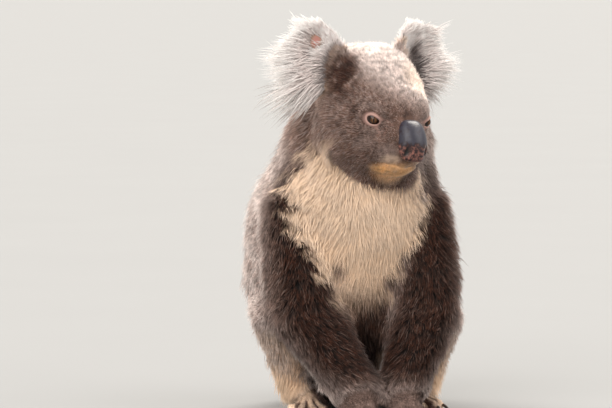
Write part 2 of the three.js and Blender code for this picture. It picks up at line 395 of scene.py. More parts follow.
# The pale bib down the chest. Its half widths go with its heights, in mm, and it fades in from fadeLow
# up and out from fadeHigh up. darkSpots are x and height of dark spots in it.
bib = {
    "middle": -11,
    "heights": (95, 128, 161, 184, 206, 223, 240, 273, 296, 330),
    "halfWidths": (0, 24, 40, 50, 64, 74, 76, 69, 52, 44),
    "edge": 9,
    "ragged": 7,
    "fadeLow": (104, 184),
    "fadeHigh": (322, 296),
    "darkSpots": ((-33, 172), (-45, 156), (26, 156)),
    "darkSpotsBehindFront": 60,
    "clearing": {"radii": (17, 90, 15), "strength": 0.95},
    "darkSpot": {"radii": (15, 90, 13), "strength": 0.6},
}
# The arms' dark fur runs on over the shoulders, up to the neck.
shoulder = {"at": (80, -30, 264), "radii": (32, 52, 50)}
# how strongly each place is marked
markShares = {
    "under": 0.5, "heels": 1.1, "rumpSpots": 0.22, "lowBibWarmShade": 0.2,
    "hands": 0.34, "shoulders": 0.7, "lowerFaceShade": 0.4, "back": 0.3, "hollow": 1.6,
    "flankSilverAndRim": 0.55, "earBacks": 0.5, "eyeRings": 0.3,
}
# Soft ellipsoids of one mark on the head: middle and radii in the head's mm, strength, and whether
# both sides have one. A ragged one also has the size and seed of its unevenness, and where that rises.
headBlots = {
    "chin": ("pale", (0, -48, -66), (25, 38, 18), 0.5, False),
    "lips": ("pale", (19, -62, -52), (13, 18, 10), 0.3, True),
    # painted sunlight on the left of the forehead
    "leftBrow": ("pale", (24, -32, 30), (26, 36, 32), 0.34, False),
    # the ears' hollows: darker hair with painted shade
    "leftEarHollow": ("hollow", (57, 4, 50), (14, 40, 27), 1, False),
    "rightEarHollow": ("hollow", (-50, 4, 50), (12, 40, 26), 1, False),
    "leftEarFreckles": ("freckles", (60, 0, 74), (24, 40, 26), 0.45, False, 9, 26, -0.9, 0.7),
    "earRoots": ("dark", (43, -4, 27), (23, 36, 46), 1.15, True, 8, 24, -1.6, -0.3),
    # painted shade below the ears' roots, down the temples
    "templeShade": ("dark", (46, -22, 6), (26, 32, 34), 0.66, True, 10, 25, -0.6, 0.5),
    "noseBridge": ("dark", (-2, -60, -6), (14, 24, 15), 0.7, False),
    # painted shade in the mouth's corners
    "mouthCornerShade": ("dark", (25, -46, -59), (12, 14, 8), 0.4, True),
    "cheeks": ("light", (41, -46, -34), (14, 19, 13), 0.4, True),
    "muzzle": ("light", (24, -62, -43), (14, 20, 13), 0.45, True),
    "chinStain": ("warm", (-3, -50, -65), (32, 38, 17), 0.75, False, 6, 27, -2.6, 0.4),
    "mouthStains": ("warm", (23, -46, -61), (12, 16, 9), 0.4, True),
}


def blot(places, middle, radii):
    # 1 in the middle of an ellipsoid, fading to 0 at its edge
    return 1 - rise(0.35, 1, lengthOf((places - middle) / radii))


def blotsOf(mark, places, inside):
    found = []
    for kind, middle, radii, strength, mirrored, *ragged in headBlots.values():
        if kind == mark:
            share = strength * blot(folded(inside) if mirrored else inside, middle, radii)
            if ragged:
                size, seed, low, high = ragged
                share = share * rise(low, high, waver(places, size, seed))
            found.append(np.minimum(share, 1))
    return found


def bibSpotsOf(kind, places):
    # the places of the bib's dark spots, one array each
    for x, z in bib["darkSpots"]:
        middle = (x, cadLow.y / mm + bib["darkSpotsBehindFront"], z)
        yield bib[kind]["strength"] * blot(places / mm, middle, bib[kind]["radii"])


def markingsAt(places, normals, shares):
    # pale, dark, light and warm, each from 0 to 1
    x, z = places[:, 0] / mm, places[:, 2] / mm
    inside = inHead(places)
    backward, upward = normals[:, 1], normals[:, 2]
    outward = np.sign(x) * normals[:, 0]
    earBack = normals @ headAxes[1]
    on = partial(areaShare, shares)
    arms, legs, rump = on("upper_arm", "forearm"), on("thigh", "shin"), on("rump")
    trunk, onHead = on("neck", "chest", "rump"), on("head", "jaw")

    ragged = bib["ragged"] * (waver(places, 11, 21) + 0.6 * waver(places, 5, 22))
    halfWidth = np.interp(z, bib["heights"], bib["halfWidths"])
    pale = rise(-bib["edge"], bib["edge"], halfWidth - np.abs(x - bib["middle"]) + ragged)
    pale *= rise(0.25, -0.25, backward) * rise(0.8, 0.5, onHead)
    pale *= rise(*bib["fadeLow"], z) * rise(*bib["fadeHigh"], z)
    for cleared in bibSpotsOf("clearing", places):
        pale *= 1 - cleared
    # the ears' long hair is white but for the dark hollow beside the head, where the hair is darker and
    # shade is painted
    fromRoot = lengthOf(np.abs(inside) * (1, 0.6, 1) - earBase["root"])
    onEar = earShare(inside, shares) * rise(10, 22, inside[:, 2])
    earFront = rise(0.85, 0.3, earBack)
    pale = np.maximum(pale, onEar * rise(2, 24, fromRoot) * (0.25 + 0.75 * earFront))
    hollow = onEar * sum(blotsOf("hollow", places, inside)) * rise(0.3, -0.2, earBack)
    hollow = np.minimum(markShares["hollow"] * hollow, 1)
    pale *= 1 - onEar * sum(blotsOf("freckles", places, inside))
    pale *= 1 - 0.9 * hollow
    # the underside, the heels, the insides of the thighs, and spots on the rump
    under = rise(-0.15, -0.75, upward) * (legs + rump)
    heel = on("shin") + 0.45 * on("foot") + 0.8 * on("thigh")
    heel += rump * rise(0.4, -0.1, backward)
    heel *= rise(72, 34, z) * rise(-0.6, 0.1, outward) * rise(30, 48, np.abs(x))
    soles = np.minimum(markShares["under"] * under + markShares["heels"] * heel, 1)
    spots = rump * rise(0.2, 0.7, backward) * rise(0.0, 1.1, waver(places, 16, 23)) * rise(150, 90, z)
    spots *= markShares["rumpSpots"]
    pale = np.maximum.reduce([pale, soles, spots, *blotsOf("pale", places, inside)])

    # dark fur down the outside and front of the arms, deepened at the front as painted shade; dark fur at
    # the ears' roots and above the nose
    dark = arms * rise(0.5, -0.3, backward) * rise(20, 75, z) * (1 - 0.6 * rise(0.4, 0.95, outward))
    dark = np.maximum.reduce([
        dark,
        markShares["hands"] * on("hand"),
        markShares["shoulders"] * blot(folded(places / mm), shoulder["at"], shoulder["radii"]),
        # painted shade on the lower front of the face
        markShares["lowerFaceShade"] * onHead * rise(-5, -40, inside[:, 1]) * rise(20, -5, inside[:, 2]),
        # painted shade on the back of the trunk
        markShares["back"] * trunk * rise(0.0, 0.6, backward),
        0.95 * hollow,
        *bibSpotsOf("darkSpot", places),
        *blotsOf("dark", places, inside),
    ])
    dark *= 1 - pale

    # silvery flanks and thighs, the flanks paler still as painted rim light, and the frosted crown, partly
    # painted sunlight
    flank = rise(0.2, 0.7, np.abs(normals[:, 0])) * trunk
    light = areaValues(shares, "silver") + markShares["flankSilverAndRim"] * flank
    # the arms paler low down, and paler towards their backs as painted rim light
    light += arms * (0.5 * rise(140, 40, z) + 0.4 * rise(-0.25, 0.15, backward))
    light += markShares["earBacks"] * onEar * (1 - earFront)
    # painted shade under the belly, between the arms
    lapShade = (trunk + legs) * rise(0.3, -0.1, backward)
    lapShade *= rise(174, 110, z) * rise(44, 28, np.abs(x - bib["middle"]))
    pale *= 1 - lapShade
    dark = np.maximum(dark, lapShade)
    light *= 1 - lapShade
    # paler towards the crown's top and the head's left: real frosting, and painted sunlight on that side
    # of the forehead
    light += onHead * rise(2, 42, inside[:, 2] + 0.55 * inside[:, 0] - 0.15 * inside[:, 1])
    light += sum(blotsOf("light", places, inside))
    for middle in eyeMiddles.values():
        toEye = lengthOf(places - middle) / mm
        light += markShares["eyeRings"] * onHead * rise(11, 14, toEye) * rise(21, 16, toEye)
    light = np.clip(light, 0, 1) * (1 - dark)

    # warmer and darker low on the bib: painted shade
    warm = markShares["lowBibWarmShade"] * pale * trunk * rise(230, 130, z)
    warm += sum(blotsOf("warm", places, inside))
    return np.clip(np.stack([pale, dark, light, warm], axis=1), 0, 1)


def srgb(text):
    # an sRGB hex colour as the linear one that shaders take
    parts = [int(text[i : i + 2], 16) / 255 for i in (0, 2, 4)]
    return (*(p / 12.92 if p <= 0.04045 else ((p + 0.055) / 1.055) ** 2.4 for p in parts), 1)


def addNode(tree, kind, inputs=None, stops=(), **settings):
    # An input is a value, a socket, or a node, which stands for the first output it has in use. A Mix
    # node's numbers are its inputs 2 and 3, and its colours 6 and 7.
    made = tree.nodes.new("ShaderNode" + kind)
    for name, value in settings.items():
        setattr(made, name, value)
    for name, value in (inputs or {}).items():
        if isinstance(value, bpy.types.Node):
            value = next(output for output in value.outputs if output.enabled)
        if isinstance(value, bpy.types.NodeSocket):
            tree.links.new(value, made.inputs[name])
        else:
            made.inputs[name].default_value = value
    for i, (place, colour) in enumerate(stops):
        marks = made.color_ramp.elements
        mark = marks[i] if i < len(marks) else marks.new(place)
        mark.position = place
        mark.color = srgb(colour)
    return made


def newMaterial(name, shading, *settings):
    # shading is a function that adds nodes and gives the shader's inputs
    made = bpy.data.materials.new(name)
    made.use_nodes = True
    made.node_tree.nodes.clear()
    node = partial(addNode, made.node_tree)
    node("OutputMaterial", {"Surface": node("BsdfPrincipled", shading(node, *settings))})
    return made


# Koala fur: dense wool, matt, each hair dark at the root and frosted at the tip, so it reads as
# soft grey-brown with pale points; the dark roots are also painted shade deep in the coat. Root and tip
# colours for plain fur and for each marking.
bodyFur = {
    "plain": ("3a241c", "9d7d6f"),
    "pale": ("f6d3b2", "ffe4cc"),
    "dark": ("140804", "4a2717"),
    "light": ("927c74", "f4e6e0"),
    "warm": ("d08c50", "ffcf90"),
    "roughness": 0.75,
    "sheen": 0.12,
}
# The ears' hair: long, straight, white, mauve grey at its root, so the ear looks lit from within.
earFur = {
    "plain": ("3a2b29", "a8928c"),
    "pale": ("e9dcd8", "fffdfb"),
    "dark": ("2a1a17", "6e5853"),
    "light": ("8a7672", "d9cac6"),
    "warm": ("7a5232", "bd9362"),
    "roughness": 0.6,
    "sheen": 0.3,
}
# Patches and flecks of darker and paler locks, side by side: how many to a metre, and their darkest and
# palest tone. The grain between the locks is also counted to a metre, and is drawn coarser than a hair,
# so that it shows. grainDepth is in mm.
wool = {
    "tones": ((70, 0.82, 1.16), (190, 0.6, 1.38)),
    "ownTone": (0.75, 1.25),
    "grain": 900,
    "grainDepth": 0.8,
    "lids": "b08d83",
    "earSpot": "d99a90",
}


def furShading(node, colours, onSkin=False):
    marks = node("Attribute", attribute_name="marks").outputs
    split = node("SeparateColor", {"Color": marks["Color"]}).outputs
    shares = {"light": split["Blue"], "dark": split["Green"], "pale": split["Red"], "warm": marks["Alpha"]}
    ends = []
    for end in (0, 1):
        colour = srgb(colours["plain"][end])
        for mark, share in shares.items():
            colour = node("Mix", {0: share, 6: colour, 7: srgb(colours[mark][end])}, data_type="RGBA")
        ends.append(colour)
    tip = node("Attribute", attribute_name="tip").outputs["Fac"]
    # each lock keeps its root colour up to about a third of its length, painted shade deep in the coat
    climb = node("MapRange", {"Value": tip, "From Min": 0.35, "From Max": 1.0})
    along = node("Mix", {0: climb, 6: ends[0], 7: ends[1]}, data_type="RGBA")
    place = node("TexCoord").outputs["Object"]
    strand = node("Attribute", attribute_name="strand").outputs["Fac"]
    low, high = wool["ownTone"]
    uneven = node("MapRange", {"Value": strand, "To Min": low, "To Max": high})
    for perMetre, low, high in wool["tones"]:
        noise = node("TexNoise", {"Vector": place, "Scale": perMetre, "Detail": 2.0})
        reach = {"From Min": 0.35, "From Max": 0.65, "To Min": low, "To Max": high}
        tone = node("MapRange", {"Value": noise, **reach})
        uneven = node("Math", {0: uneven, 1: tone}, operation="MULTIPLY")
    # frosted and dark fur is the most uneven, and white fur the most even
    busy = node("Math", {0: shares["light"], 1: shares["dark"]}, operation="MAXIMUM")
    busy = node("MapRange", {"Value": busy, "To Min": 0.45, "To Max": 1.0})
    uneven = node("Mix", {0: busy, 2: 1.0, 3: uneven})
    calm = node("Mix", {0: shares["pale"], 2: uneven, 3: 1.0})
    tone = node("HueSaturation", {"Color": along, "Value": node("Mix", {0: 0.8, 2: uneven, 3: calm})})
    inputs = {
        "Base Color": tone,
        "Roughness": colours["roughness"],
        "Sheen Weight": colours["sheen"],
        "Sheen Roughness": 0.5,
        "IOR": 1.45,
        "Specular IOR Level": 0.3,
    }
    if onSkin:
        grain = node("TexNoise", {"Vector": place, "Scale": wool["grain"], "Detail": 2.0})
        depth = wool["grainDepth"] * mm
        bare = node("Attribute", attribute_name="bare").outputs["Fac"]
        # the lids are mauve brown, and the bare spot in the white ear is pink
        lidsAndSpot = {6: srgb(wool["lids"]), 7: srgb(wool["earSpot"])}
        naked = node("Mix", {0: shares["pale"], **lidsAndSpot}, data_type="RGBA")
        inputs["Base Color"] = node("Mix", {0: bare, 6: tone, 7: naked}, data_type="RGBA")
        inputs["Normal"] = node("Bump", {"Height": grain, "Strength": 0.5, "Distance": depth})
        inputs["Sheen Weight"] = 0.1
    return inputs


# Wet eye: a clear smooth cornea over a brown iris, so it is dark, glossy and sharp in its highlights.
# Places on it are shares of the iris's radius: where each colour lies, and the slit pupil's half sizes.
iris = {
    "colours": ((0.12, "6a4526"), (0.62, "2c190e"), (0.8, "0e0806"), (1.0, "2a1a14")),
    "fibres": 9.0,
    "fibreSwing": 0.13,
    "pupil": "080504",
    "slit": (0.12, 0.5),
}


def eyeShading(node):
    gaze = node("Attribute", attribute_name="gaze").outputs["Vector"]
    away = node("VectorMath", {0: gaze}, operation="LENGTH")
    grain = node("TexNoise", {"Vector": gaze, "Scale": iris["fibres"], "Detail": 4.0})
    swing = {"To Min": -iris["fibreSwing"], "To Max": iris["fibreSwing"]}
    ring = node("Math", {0: away, 1: node("MapRange", {"Value": grain, **swing})})
    colour = node("ValToRGB", {0: ring}, stops=iris["colours"])
    wide, tall = iris["slit"]
    inSlit = node("VectorMath", {0: gaze, 1: (1 / wide, 1 / tall, 0)}, operation="MULTIPLY")
    slit = node("VectorMath", {0: inSlit}, operation="LENGTH")
    inPupil = node("MapRange", {"Value": slit, "From Min": 0.85, "From Max": 1.15})
    seen = node("Mix", {0: inPupil, 6: srgb(iris["pupil"]), 7: colour}, data_type="RGBA")
    return {"Base Color": seen, "Roughness": 0.06, "IOR": 1.376}


# Nose leather: bare, finely pebbled, damp. Slate grey above and pink mottled with dark below, with the
# nostrils near black as painted shade in their holes. Its patches and speckles are counted to a metre, and
# its pebbles' size and depth are in mm.
leather = {
    "top": "211f29", "sheenTop": "3e3d4a", "low": "85574c", "mottle": "241417", "nostril": "0c0607",
    "patches": 110, "speckles": 300, "pebble": 1.1, "pebbleDepth": 0.3,
}


def noseShading(node):
    place = node("TexCoord").outputs["Object"]
    low, hole = (node("Attribute", attribute_name=name).outputs["Fac"] for name in ("low", "hole"))
    speckle = {"Scale": leather["speckles"], "Detail": 3.0, "Roughness": 0.6}
    speckle = node("TexNoise", {"Vector": place, **speckle})
    broad = node("TexNoise", {"Vector": place, "Scale": leather["patches"], "Detail": 2.0})
    colours = {name: srgb(leather[name]) for name in ("top", "sheenTop", "low", "mottle", "nostril")}
    top = node("Mix", {0: broad, 6: colours["top"], 7: colours["sheenTop"]}, data_type="RGBA")
    patches = node("MapRange", {"Value": speckle, "From Min": 0.42, "From Max": 0.62})
    bottom = node("Mix", {0: patches, 6: colours["mottle"], 7: colours["low"]}, data_type="RGBA")
    # slate gives way to dark, and dark to pink, along a ragged edge
    ragged = node("Math", {0: speckle, 1: 0.9}, operation="MULTIPLY")
    edge = node("Math", {0: node("Math", {0: low, 1: broad}), 1: ragged})
    dim = node("MapRange", {"Value": edge, "From Min": 1.0, "From Max": 1.3})
    down = node("MapRange", {"Value": edge, "From Min": 1.3, "From Max": 1.65})
    colour = top
    # the nostrils near black: painted shade in their holes
    for share, over in ((dim, colours["mottle"]), (down, bottom), (hole, colours["nostril"])):
        colour = node("Mix", {0: share, 6: colour, 7: over}, data_type="RGBA")
    pebbles = node("TexVoronoi", {"Vector": place, "Scale": 1 / (leather["pebble"] * mm)})
    depth = {"Strength": 0.35, "Distance": leather["pebbleDepth"] * mm}
    bump = node("Bump", {"Height": pebbles, **depth}, invert=True)
    return {"Base Color": colour, "Roughness": 0.37, "IOR": 1.45, "Normal": bump}


# Claw horn: grown keratin, dark and smooth with a fine grain, drawn as coarse as it needs to show, and
# a little paler at the root. The grain is counted to a metre, and its depth is in mm.
horn = {"dark": "1f1713", "pale": "5b4a40", "grain": 700, "grainDepth": 0.2}


def clawShading(node):
    tip = node("Attribute", attribute_name="tip").outputs["Fac"]
    place = node("TexCoord").outputs["Object"]
    grain = node("TexNoise", {"Vector": place, "Scale": horn["grain"], "Detail": 3.0})
    grained = node("Math", {0: tip, 1: grain})
    share = node("MapRange", {"Value": grained, "From Min": 0.3, "From Max": 1.1})
    colour = node("Mix", {0: share, 6: srgb(horn["pale"]), 7: srgb(horn["dark"])}, data_type="RGBA")
    bump = node("Bump", {"Height": grain, "Strength": 0.2, "Distance": horn["grainDepth"] * mm})
    return {"Base Color": colour, "Roughness": 0.35, "IOR": 1.54, "Normal": bump}


furOnSkin = newMaterial("shortFurOnSkin", furShading, bodyFur, True)
woollyFur = newMaterial("woollyFur", furShading, bodyFur)
longEarHair = newMaterial("longEarHair", furShading, earFur)
wetEye = newMaterial("wetEye", eyeShading)
noseLeather = newMaterial("noseLeather", noseShading)
clawHorn = newMaterial("clawHorn", clawShading)
log("materials")

# Sizes and places in mm, the strength of the smoothing, and how many rounds it has. The paws and the
# muzzle are smoothed less than the rest.
skinSizes = {
    "swell": 0.6, "voxel": 3.0, "smooth": 0.5, "pawSmooth": 0.05, "rounds": 26, "normalRounds": 6,
    "fineVoxel": 2.8, "fineSmooth": 0.35, "fineRounds": 3,
    "faceAt": (0, -55, -30), "faceReach": (62, 40), "faceRounds": 10,
}
# The ears, in the head's own mm and in degrees. notch is a bare pink spot high on the right ear.
ear = {
    "left": {"at": (51, 22, 60), "halfWidth": 34, "taper": 0.06, "turn": 24, "lean": 8, "power": 2.7},
    "right": {"at": (-64, 22, 58), "halfWidth": 30, "taper": 0.34, "turn": -22, "lean": -21, "power": 2.1},
    "halfHeight": 39,
    "thick": 7,
    "cup": 11,
    "notchAt": (-72, 14, 72),
    "notch": (8, 18, 12),
}


def remeshed(shape, voxel):
    # one closed skin round all that the shape holds
    holder = addObject("remeshHolder", meshFrom(shape, "parts"))
    step = holder.modifiers.new("voxels", "REMESH")
    step.mode = "VOXEL"
    step.voxel_size = voxel * mm
    view = bpy.context.evaluated_depsgraph_get()
    made = bpy.data.meshes.new_from_object(holder.evaluated_get(view))
    bpy.data.objects.remove(holder)
    return made


def joinedFlesh():
    joined = bmesh.new()
    names = [name for name in guideNames if not name.startswith("ear")]
    for name in names + ["nose", "eye_left", "eye_right"]:
        shape = nodeCopy(name)
        shape.normal_update()
        for vert in shape.verts:
            vert.co += vert.normal * skinSizes["swell"] * mm
        joined.from_mesh(meshFrom(shape, name))
    return joined


def addEarLeaf(shape, leaf):
    # a round lens, a little squared, bent to a dish that is open to the front
    verts = bmesh.ops.create_icosphere(shape, subdivisions=5, radius=1)["verts"]
    power = leaf["power"]
    for vert in verts:
        x, y, z = vert.co
        wide = math.hypot(x, z) / max((abs(x) ** power + abs(z) ** power) ** (1 / power), 1e-6)
        x *= 1 - leaf["taper"] * max(z, 0)
        cupped = y * ear["thick"] / 2 - ear["cup"] * (x * x + z * z)
        vert.co = Vector((x * wide * leaf["halfWidth"], cupped, z * wide * ear["halfHeight"]))
    turn = Matrix.Rotation(math.radians(leaf["turn"]), 4, "Z")
    lean = Matrix.Rotation(math.radians(leaf["lean"]), 4, "Y")
    axes = Matrix(headAxes).transposed().to_4x4()
    move = Matrix.Translation(Vector(fromHead(leaf["at"])))
    bmesh.ops.transform(shape, matrix=move @ axes @ Matrix.Scale(mm, 4) @ lean @ turn, verts=verts)


def bodySkin():
    mesh = remeshed(joinedFlesh(), skinSizes["voxel"])
    places = pointsOf(mesh)
    paws = areaShare(nearness(places), "hand", "foot")
    strength = skinSizes["smooth"] * (1 - paws) + skinSizes["pawSmooth"] * paws
    strength *= 1 - 0.9 * onDigits(places)
    strength *= 0.25 + 0.75 * rise(30, 75, toNose(places))
    places = relaxed(mesh, places, strength, skinSizes["rounds"])
    setPoints(mesh, places)
    # from the coat's surface down to the skin
    normals = unit(relaxed(mesh, pointsOf(mesh, "normal"), 0.5, skinSizes["normalRounds"]))
    depth = coatDepth(places, nearness(places)) + skinSizes["swell"] * mm
    setPoints(mesh, places - normals * depth[:, None])
    shape = bmesh.new()
    for side in sides:
        addEarLeaf(shape, ear[side])
    shape.from_mesh(mesh)
    mesh = remeshed(shape, skinSizes["fineVoxel"])
    places = pointsOf(mesh)
    strength = skinSizes["fineSmooth"] - 0.2 * onDigits(places)
    setPoints(mesh, relaxed(mesh, places, strength, skinSizes["fineRounds"]))
    return mesh


# The eyes' openings are ellipses in degrees about each eye's own axis, a little longer at the inner
# corner. q is the angle from that axis over the opening's angle: 1 on the lid's edge. Pairs are the q
# between which something changes, and the rest is in mm: the lid stands lip above the ball, with a
# crease behind its margin, and the bare skin ends that many degrees past the edge.
lids = {
    "axis": (0.72, -0.66, -0.20),
    "wide": 49,
    "tall": 31,
    "tilt": -23,
    "corner": 0.3,
    "bareCorner": 0.12,
    "bare": (36, 9),
    "reach": 24,
    "inside": (0.86, 1.02),
    "sunk": 0.55,
    "gap": 0.25,
    "lipAt": (0.98, 1.14),
    "lip": 1.05,
    "creaseAt": ((1.25, 1.42), (1.62, 1.45)),
    "crease": 0.5,
    "blend": (1.2, 1.95),
    "beyond": 3.2,
}


def eyeFrame(side):
    # outward axis, the way to the inner corner, up, and the ball's radius in metres
    axis = unit(np.array(lids["axis"]) * (sides[side], 1, 1) @ headAxes)
    inward = unit(np.cross(axis, headAxes[2])) * sides[side]
    up = unit(np.cross(inward, axis)) * sides[side]
    low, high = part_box("eye_" + side)
    return axis, inward, up, (high - low).x / 2


def lidShare(places, side):
    # q at each place, the distance from the eye's middle, and the degrees past the bare skin's edge
    axis, inward, up, _ = eyeFrame(side)
    away = places - eyeMiddles[side]
    way = unit(away)
    angle = np.degrees(np.arccos(np.clip(way @ axis, -1, 1)))
    tilt = math.radians(lids["tilt"])
    across, over = way @ inward, way @ up
    turned = unit(np.stack([
        across * math.cos(tilt) + over * math.sin(tilt),
        over * math.cos(tilt) - across * math.sin(tilt),
    ], axis=1))
    opening = 1 / lengthOf(turned / (lids["wide"], lids["tall"]))
    toCorner = np.maximum(turned[:, 0], 0)
    opening *= 1 + lids["corner"] * toCorner**5
    return angle / opening, lengthOf(away), angle - opening * (1 + lids["bareCorner"] * toCorner**3)


def refine(mesh, spots):
    # cuts the faces near each spot into four, once for each radius
    shape = shapeOf(mesh)
    for middle, radii in spots:
        for radius in radii:
            edges = [
                edge for edge in shape.edges
                if (sum((vert.co for vert in edge.verts), Vector()) / 2 - middle).length < radius * mm
            ]
            bmesh.ops.subdivide_edges(shape, edges=edges, cuts=1, use_grid_fill=True)
    bmesh.ops.triangulate(shape, faces=[face for face in shape.faces if len(face.verts) > 4])
    shape.to_mesh(mesh)
    shape.free()


def cutDigits(mesh):
    # grooves between the fingers and between the toes
    places = pointsOf(mesh)
    aside = []
    for _, middle, way in clawLines.values():
        level = unit(way * (1, 1, 0))
        off = (places - middle) * (1, 1, 0)
        tooFar = lengthOf(off) > digits["reach"] * mm
        aside.append(lengthOf(off - dot(off, level) * level) / mm + 100 * tooFar)
    first, second = np.sort(np.stack(aside), axis=0)[:2]
    between = np.exp(-(((second - first) / digits["grooveWidth"]) ** 2)) * (first < digits["halfWidth"])
    share = between * onDigits(places) * rise(0, 3, places[:, 2] / mm)
    setPoints(mesh, places - pointsOf(mesh, "normal") * (share * digits["groove"] * mm)[:, None])


def shapeLids(mesh):
    # returns where the skin is bare: round the eyes, and at the ear's notch
    bare = blot(inHead(pointsOf(mesh)), ear["notchAt"], ear["notch"])
    bare *= rise(0.3, -0.2, pointsOf(mesh, "normal") @ headAxes[1])
    for side in sides:
        places = pointsOf(mesh)
        q, distance, past = lidShare(places, side)
        radius = eyeFrame(side)[3]
        near = distance < lids["reach"] * mm
        inside = rise(*lids["inside"], q)
        lid = radius * lids["sunk"] * (1 - inside) + (radius + lids["gap"] * mm) * inside
        lid += lids["lip"] * mm * rise(*lids["lipAt"], q)
        lid -= lids["crease"] * mm * rise(*lids["creaseAt"][0], q) * rise(*lids["creaseAt"][1], q)
        keep = rise(*lids["blend"], q)
        wanted = lid * (1 - keep) + np.maximum(distance, lid) * keep
        wanted = np.where(q > lids["beyond"], distance, wanted)
        moved = eyeMiddles[side] + unit(places - eyeMiddles[side]) * wanted[:, None]
        places[near] = moved[near]
        setPoints(mesh, places)
        bare = np.maximum(bare, rise(*lids["bare"], past) * near)
    return bare


# Heights, widths and depths in mm.
mouth = {"height": -61, "rise": 0.25, "reach": 34, "fade": 10, "groove": 1.6, "width": 2.2}
# Where the skin is cut finer: the middle, and the radii of each cut, in mm.
finer = {"eye": (26, 20, 17), "mouthAt": (0, -62, -50), "mouth": (34, 26), "paw": (34,)}


def cutMouth(mesh):
    places = pointsOf(mesh)
    inside = inHead(places)
    aside = np.abs(inside[:, 0])
    line = mouth["height"] + mouth["rise"] * aside
    close = np.exp(-((inside[:, 2] - line) / mouth["width"]) ** 2)
    close *= rise(mouth["reach"], mouth["reach"] - mouth["fade"], aside) * rise(-30, -45, inside[:, 1])
    setPoints(mesh, places - pointsOf(mesh, "normal") * (close * mouth["groove"] * mm)[:, None])


def makeSkin():
    mesh = bodySkin()
    log("skin remeshed,", len(mesh.vertices), "points")
    spots = [(Vector(middle), finer["eye"]) for middle in eyeMiddles.values()]
    spots.append((Vector(fromHead(finer["mouthAt"])), finer["mouth"]))
    for paw in sorted({name[:-2] for name in clawLines}):
        claws = [middle for name, (_, middle, _) in clawLines.items() if name.startswith(paw)]
        spots.append((Vector(np.mean(claws, axis=0)), finer["paw"]))
    refine(mesh, spots)
    places = pointsOf(mesh)
    onFace = rise(*skinSizes["faceReach"], lengthOf(inHead(places) - skinSizes["faceAt"]))
    setPoints(mesh, relaxed(mesh, places, skinSizes["smooth"] * onFace, skinSizes["faceRounds"]))
    bare = shapeLids(mesh)
    cutDigits(mesh)
    cutMouth(mesh)
    places = pointsOf(mesh)
    places[:, 2] = np.maximum(places[:, 2], 0)
    setPoints(mesh, places)
    shares = nearness(places)
    marks = markingsAt(places, pointsOf(mesh, "normal"), shares)
    # the ears' skin is silvery rather than cream where it shows between their hairs
    silvery = marks[:, 0] * earShare(inHead(places), shares) * (1 - bare)
    marks[:, 0] -= silvery
    marks[:, 2] = np.maximum(marks[:, 2], silvery)
    setAttribute(mesh, "marks", marks)
    setAttribute(mesh, "bare", bare)
    # where the hair is shortest the skin shows its own fine hair, so it is paler there
    setAttribute(mesh, "tip", 0.3 + 0.3 * rise(70, 40, toNose(places)) + 0.35 * onDigits(places))
    setAttribute(mesh, "strand", np.full(len(places), 0.4))
    mesh.name = "skin"
    newPiece("skin", mesh, furOnSkin, "grey_fur", *guideNames)
    log("skin finished,", len(mesh.vertices), "points")
    return mesh, bare


skin, bareSkin = makeSkin()

# The cornea stands out by so many mm within so many degrees of the gaze, which turns in a little from
# the lids' axis. iris is the angle of its rim.
eyeball = {"cornea": 0.9, "corneaAngle": 34, "turnedIn": 0.25, "iris": 46}


def makeEye(side):
    axis, inward, up, radius = eyeFrame(side)
    shape = bmesh.new()
    bmesh.ops.create_icosphere(shape, subdivisions=5, radius=radius)
    mesh = meshFrom(shape, "eye_" + side)
    places = pointsOf(mesh)
    way = unit(places)
    gaze = unit(axis + eyeball["turnedIn"] * inward)
    across = unit(inward - gaze * (inward @ gaze))
    angle = np.degrees(np.arccos(np.clip(way @ gaze, -1, 1)))
    swell = eyeball["cornea"] * mm * rise(eyeball["corneaAngle"], 0, angle)
    setPoints(mesh, places + way * swell[:, None] + eyeMiddles[side])
    reach = math.sin(math.radians(eyeball["iris"]))
    setAttribute(mesh, "gaze", np.stack([way @ across / reach, way @ up / reach, 0 * angle], axis=1))
    newPiece("eye" + side.capitalize(), mesh, wetEye, "eye", "eye_" + side)


# Places on the pad are shares of its half width and half height from its middle, depths are in mm.
nosePad = {
    "topWidth": 0.9,
    "squareness": 3.3,
    "nostrilAt": (0.60, -0.52),
    "nostrilSize": (0.24, 0.30),
    "nostrilCurl": (0.35, 0.15),
    "nostrilDeep": 5.0,
    "grooveWidth": 0.07,
    "grooveDeep": 1.0,
}


def makeNose():
    shape = nodeCopy("nose")
    for _ in range(2):
        bmesh.ops.subdivide_edges(shape, edges=shape.edges, cuts=1, use_grid_fill=True, smooth=0.9)
    mesh = meshFrom(shape, "nosePad")
    inside = inHead(relaxed(mesh, pointsOf(mesh), 0.5, 6))
    low, high = inside.min(axis=0), inside.max(axis=0)
    middle, half = (low + high) / 2, (high - low) / 2
    across, behind, over = ((inside - middle) / half).T
    front = rise(0.3, -0.3, behind)
    # a comma-shaped hole each side, its tail curling outwards and up
    x, z = nosePad["nostrilAt"]
    wide, tall = nosePad["nostrilSize"]
    bent, slanted = nosePad["nostrilCurl"]
    curl = np.abs(across) - x - bent * (over - z) ** 2 - slanted * (over - z)
    hole = np.exp(-(curl / wide * 1.6) ** 2 - ((over - z) / tall) ** 2) * front
    groove = np.exp(-(across / nosePad["grooveWidth"]) ** 2) * rise(-0.35, -0.8, over) * front
    inside[:, 1] += nosePad["nostrilDeep"] * hole + nosePad["grooveDeep"] * groove
    # squarer than an egg, and narrower at the top
    power, height = nosePad["squareness"], np.minimum(np.abs(over), 0.985)
    squarer = (1 - height**power) ** (1 / power) / np.sqrt(1 - height**2)
    narrower = 1 - (1 - nosePad["topWidth"]) * rise(-0.3, 0.8, over)
    inside[:, 0] = middle[0] + (inside[:, 0] - middle[0]) * squarer * narrower
    setPoints(mesh, fromHead(inside))
    setAttribute(mesh, "low", rise(0.15, -0.7, over))
    setAttribute(mesh, "hole", rise(0.3, 0.75, hole))
    newPiece("nosePad", mesh, noseLeather, "nose", "nose")


claw = {"rings": 6, "segments": 12, "overlap": 0.2}


